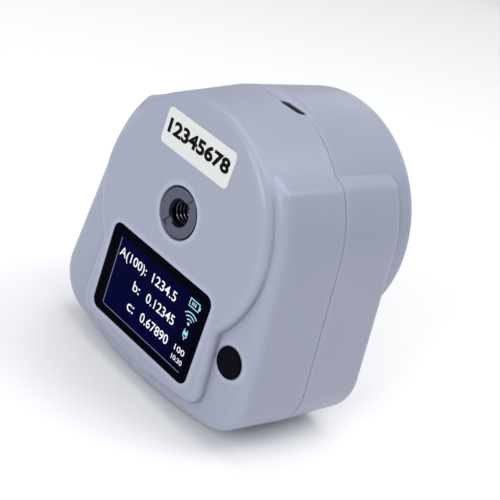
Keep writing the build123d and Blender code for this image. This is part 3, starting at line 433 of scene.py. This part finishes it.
def screen_glass():
    """Dark display glass: a black border and a dimly lit blue area with a pixel grid."""
    paint = Paint("screen_glass", (0.0004, 0.0005, 0.003), 0.07, Specular_IOR_Level=0.01)
    axes = paint.axes()
    x, z = axes["X"], axes["Z"]
    rows, columns = paint.waves(z, PIXEL), paint.waves(x, PIXEL)
    glowing = paint.level(paint.math("ADD", rows, columns), -2.0, 2.0, 0.85, 1.15)
    for value, zero, limits in ((x, AXIS.x, SCREEN_AREA[0]), (z, AXIS.z, SCREEN_AREA[1])):
        low, high = (zero + limit * MM for limit in limits)
        after = paint.level(value, low - SCREEN_SOFT * MM, low)
        before = paint.level(value, high, high + SCREEN_SOFT * MM, 1.0, 0.0)
        glowing = paint.math("MULTIPLY", glowing, paint.math("MULTIPLY", after, before))
    fade = paint.level(x, AXIS.x + FADE_FROM * MM, AXIS.x + FADE_TO * MM, 1.0, 0.35)
    glow = paint.blend(paint.noise(70, 1), (0.0, 0.0001, 0.021), (0.0, 0.0003, 0.032))
    paint.set(Emission_Color=glow, Emission_Strength=paint.math("MULTIPLY", glowing, fade))
    paint.set(Roughness=paint.level(paint.noise(330, 4), 0.35, 0.75, 0.05, 0.10))
    return paint.material


def screen_light(name, colour, strength):
    """Lit pixels behind the glass."""
    paint = Paint(name, (0.01, 0.01, 0.01), 0.08, Specular_IOR_Level=0.02)
    glow = paint.blend(paint.noise(2600), scaled(colour, 0.86), colour)
    paint.set(Emission_Color=glow, Emission_Strength=strength)
    return paint.material


def pale_floor():
    """Matt pale paper."""
    paint = Paint("pale_floor", (0.95, 0.95, 0.955), 0.75)
    paint.set(Base_Color=paint.shade(0.01, paint.noise(3)))
    return paint.material


# Pieces

INK = 0.010              # thickness of printed and lit pieces
LINE_BOLD = 0.006        # how far lit characters are thickened, in units of the font's size


def piece(name, mesh, material, smooth=False):
    """New object of the housing from a mesh in metres."""
    mesh.materials.clear()
    mesh.materials.append(material)
    if smooth:
        mesh.polygons.foreach_set("use_smooth", [True] * len(mesh.polygons))
    thing = bpy.data.objects.new(name, mesh)
    bpy.context.scene.collection.objects.link(thing)
    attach(thing, "housing")
    return thing


def on_face(x, rise, out, face):
    """Point on the rear side, in metres; out counts rearwards from a face's depth."""
    return Vector((AXIS.x + x * MM, face - out * MM, AXIS.z + rise * MM))


def lettering(name, text, left, foot, width, height, face, material, slot,
              bold=LINE_BOLD, turn=0.0):
    """Thin raised characters that fill a width and a height, turned about their middle.

    turn is in degrees."""
    curve = bpy.data.curves.new(name, "FONT")
    curve.body = text
    curve.offset = bold
    curve.extrude = 0.5
    curve.resolution_u = 6
    writing = bpy.data.objects.new(name, curve)
    mesh = bpy.data.meshes.new_from_object(writing)
    bpy.data.objects.remove(writing)
    low = [min(v.co[i] for v in mesh.vertices) for i in (0, 1)]
    high = [max(v.co[i] for v in mesh.vertices) for i in (0, 1)]
    middle_x, middle_rise = left + width / 2, foot + height / 2
    angle = math.radians(turn)
    for vertex in mesh.vertices:
        right = ((vertex.co.x - low[0]) / (high[0] - low[0]) - 0.5) * width
        up = ((vertex.co.y - low[1]) / (high[1] - low[1]) - 0.5) * height
        x = middle_x + right * math.cos(angle) - up * math.sin(angle)
        rise = middle_rise + right * math.sin(angle) + up * math.cos(angle)
        vertex.co = on_face(x, rise, INK * (vertex.co.z + 0.5), face)
    return piece(name, mesh, material)


def bmesh_piece(name, shape, material, smooth=False):
    """New piece from a bmesh, which is freed."""
    mesh = bpy.data.meshes.new(name)
    shape.to_mesh(mesh)
    shape.free()
    return piece(name, mesh, material, smooth)


def drawing(name, outlines, face, material):
    """Thin raised shapes, each from a closed outline of (x, rise) that runs anticlockwise.

    They are open at the back, where they lie on the face."""
    shape = bmesh.new()
    for outline in outlines:
        front = [shape.verts.new(on_face(x, rise, INK, face)) for x, rise in outline]
        back = [shape.verts.new(on_face(x, rise, 0, face)) for x, rise in outline]
        shape.faces.new(front)
        for i in range(len(outline)):
            shape.faces.new((front[i], front[i - 1], back[i - 1], back[i]))
    return bmesh_piece(name, shape, material)


def bar(left, foot, width, height):
    """Outline of a rectangle."""
    right, top = left + width, foot + height
    return [(left, foot), (right, foot), (right, top), (left, top)]


def arc(x, rise, radius, start, end, steps=14):
    """Points on an arc, with angles in degrees."""
    angles = [math.radians(start + (end - start) * i / steps) for i in range(steps + 1)]
    return [(x + radius * math.cos(a), rise + radius * math.sin(a)) for a in angles]


def arch(x, rise, radius, width, start, end):
    """Outline of a curved bar."""
    outer, inner = radius + width / 2, radius - width / 2
    return arc(x, rise, outer, start, end) + arc(x, rise, inner, end, start)


# Label

DIGITS_LEFT, DIGITS_FOOT = -12.2, -1.75          # from the label's middle
DIGITS_WIDTH, DIGITS_HEIGHT = 24.6, 4.3
DIGITS_BOLD = 0.042
DIGITS_TURN = -0.5                               # degrees


def make_label():
    """The label's film and digits, which together have the CAD label's thickness."""
    cad_label = nodes["serial_label"].data
    film_mesh = cad_label.copy()
    face = rear_face("serial_label") + INK * MM
    for vertex in film_mesh.vertices:
        vertex.co.y = max(vertex.co.y, face)
    film = piece("label_film", film_mesh, cad_label.materials[0])
    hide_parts("serial_label")
    centre = (middle("serial_label") - AXIS) / MM
    lettering("label_digits", "12345678", centre.x + DIGITS_LEFT, centre.z + DIGITS_FOOT,
              DIGITS_WIDTH, DIGITS_HEIGHT, face, label_ink(), "label", DIGITS_BOLD, DIGITS_TURN)


# Readout and signs on the display window

VALUE_LEFT, VALUE_HEIGHT = -1.5, 2.9
ROWS = (
    # foot, sign, its left edge, drop below the foot, width and height, value and its width
    (-20.9, "A(100):", -16.3, 0.7, 12.0, 3.6, "1234.5", 10.3),
    (-27.1, "b:", -7.5, 0.0, 2.9, 2.9, "0.12345", 12.2),
    (-33.3, "c:", -7.5, 0.0, 2.9, 2.204, "0.67890", 12.2),
)
SMALL_NUMBERS = (
    # name, text, left, foot, width, height
    ("readout_charge", "100", 13.7, -32.4, 4.1, 1.75),
    ("readout_clock", "10:30", 13.6, -35.2, 4.4, 1.5),
)
FRAME_LINES = [bar(-17.2, -36.9, 0.28, 21.0), bar(-16.7, -37.2, 34.8, 0.22)]


def make_readout():
    """Three rows of a measurement and two small numbers, as lit characters."""
    face = rear_face("display_window")
    white = screen_light("screen_white", (0.90, 0.96, 1.0), 1.1)
    for row, (foot, sign, left, drop, width, height, value, value_width) in enumerate(ROWS):
        lettering(f"readout_sign_{row}", sign, left, foot - drop, width, height,
                  face, white, "lcd")
        lettering(f"readout_value_{row}", value, VALUE_LEFT, foot, value_width, VALUE_HEIGHT,
                  face, white, "lcd")
    for name, text, *place in SMALL_NUMBERS:
        lettering(name, text, *place, face, white, "lcd")


def battery_sign(left, foot, width, height, line):
    """Outlines of a battery with three bars of charge."""
    upright = height - 2 * line
    case = [bar(left, foot, width, line), bar(left, foot + height - line, width, line),
            bar(left, foot + line, line, upright),
            bar(left + width - line, foot + line, line, upright)]
    pole = bar(left + width, foot + height * 0.3, 0.4, height * 0.4)
    first, pitch, thick, gap = 1.0, 0.65, 0.38, 0.75
    charge = [bar(left + first + pitch * i, foot + gap, thick, height - 2 * gap)
              for i in range(3)]
    return [*case, pole, *charge]


def wireless_sign(x, rise):
    """Outlines of three waves over a dot."""
    line, dot = 0.34, 0.45
    waves = [arch(x, rise, radius, line, 45, 135) for radius in (1.3, 2.3, 3.3)]
    return [*waves, arc(x, rise, dot, 0, 345, 23)]


def plug_sign(left, foot, width):
    """Outlines of a plug with two pins, its cord downwards."""
    line, x = 0.3, left + width / 2
    body = bar(left, foot, width, 1.0)
    pins = [bar(pin, foot + 1.0, line, 0.7) for pin in (left + 0.2, left + width - 0.5)]
    shell = arch(x, foot, 0.75, line, 180, 360)
    return [body, *pins, shell, bar(x - line / 2, foot - 1.5, line, 0.8)]


def make_icons():
    """Battery, wireless and plug signs, and the thin lines that frame the readout."""
    face = rear_face("display_window")
    cyan = screen_light("screen_cyan", (0.45, 0.86, 0.95), 0.9)
    grey = screen_light("screen_grey", (0.30, 0.33, 0.52), 0.6)
    drawing("battery_icon", battery_sign(13.7, -18.6, 4.0, 2.5, 0.30), face, cyan)
    drawing("wireless_icon", wireless_sign(15.7, -23.2), face, cyan)
    drawing("plug_icon", plug_sign(14.9, -26.6, 1.8), face, cyan)
    drawing("readout_frame", FRAME_LINES, face, grey)


# Thread of the tripod bush

THREAD_PITCH = 1.27      # 20 turns to the inch
THREAD_CREST = 2.68      # radius
THREAD_ROOT = 3.22       # radius, just inside the bush's wall
ROOT_HALF, CREST_HALF = 0.40, 0.05       # half widths of the ridge, in turns
THREAD_SIDES = 64        # steps in one turn
THREAD_START = 0.9       # from the bush's face to the first turn
THREAD_END = 0.3         # from the last turn to the bush's end
BUSH_MOUTH = 3.85        # radius of the bush's widened mouth, inside which the bore gets painted shade
BUSH_RIM = 6.72          # radius beyond which the flange's edge gets painted shadow from the gap round it


def make_thread(material):
    """Thread of the tripod bush, swept along a helix inside the CAD's plain bore.

    Its sides are wound inwards and its two ends outwards, which is a fault."""
    low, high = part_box("tripod_bush")
    start, end = low[1] + THREAD_START * MM, high[1] - THREAD_END * MM
    centre = middle("tripod_bush")
    turns = (end - start) / (THREAD_PITCH * MM) - 1
    profile = ((THREAD_ROOT, -ROOT_HALF), (THREAD_CREST, -CREST_HALF),
               (THREAD_CREST, CREST_HALF), (THREAD_ROOT, ROOT_HALF))
    shape = bmesh.new()
    rings = []
    for step in range(int(turns * THREAD_SIDES) + 1):
        turn = step / THREAD_SIDES
        angle = 2 * math.pi * turn
        rings.append([shape.verts.new((
            centre.x + radius * MM * math.cos(angle),
            start + (turn + ROOT_HALF + shift) * THREAD_PITCH * MM,
            centre.z + radius * MM * math.sin(angle))) for radius, shift in profile])
    for ring, following in zip(rings, rings[1:]):
        for i in range(len(profile)):
            shape.faces.new((ring[i - 1], ring[i], following[i], following[i - 1]))
    shape.faces.new(rings[0])
    shape.faces.new(rings[-1][::-1])
    bmesh_piece("tripod_thread", shape, material, smooth=True)


# Whole object

def paint_nodes():
    """Gives every CAD node its material."""
    finishes = {
        # Shell: lighter edges partly wear, partly painted highlight; painted highlight on
        # roundings and painted shade in creases
        "shell": moulded("shell_plastic", (0.292, 0.311, 0.398), 0.34, edge=0.6, wear_and_sheen_shown=0.6,
                         painted_light_and_shade=0.45),
        "steel": brushed("steel", (0.60, 0.60, 0.62), 0.28),
        "bush": turned("bush_metal", (0.105, 0.11, 0.155), 0.38, middle("tripod_bush"),
                       unshaded_from=BUSH_MOUTH, unshaded_to=BUSH_RIM),
        "brass": brushed("brass", (0.72, 0.50, 0.20), 0.30),
        "hood": moulded("hood_plastic", (0.012, 0.012, 0.014), 0.62, grain=3200,
                        Specular_IOR_Level=0.3),
        "tube": turned("anodised", (0.016, 0.016, 0.018), 0.42, middle("objective_lens"),
                       pitch=0.3),
        "lens": glass("coated_lens", (0.93, 0.97, 1.0), 115.0),
        "filter": glass("filter_glass", (0.55, 0.78, 0.74), 90.0),
        "board": circuit_board(),
        "chip": moulded("chip_epoxy", (0.018, 0.018, 0.020), 0.5, grain=4200, edge=0.08),
        "carrier": moulded("carrier_plastic", (0.035, 0.035, 0.040), 0.5),
        "plug": moulded("plug_nylon", (0.72, 0.69, 0.60), 0.42),
        "wire": lead_insulation(),
        "flex": ribbon_cable(),
        "seal": foam(),
        "lcd": screen_light("screen_panel", (0.002, 0.003, 0.03), 1.0),
        "window": screen_glass(),
        "button": moulded("button_plastic", (0.0015, 0.0015, 0.004), 0.5, grain=3400,
                          Specular_IOR_Level=0.03),
        "cell": battery_foil(),
        "label": label_film(),
    }
    for sub_part in frame["record"]["subparts"]:
        mesh = nodes[sub_part["node"]].data
        mesh.materials.clear()
        mesh.materials.append(finishes[sub_part["material_slot"]])


make_camera()
make_lights()
make_floor(pale_floor())
paint_nodes()
# Thread darker than the bush's flange: painted shade in the bore
make_thread(turned("thread_metal", (0.055, 0.055, 0.075), 0.15, middle("tripod_bush")))
make_label()
make_readout()
make_icons()
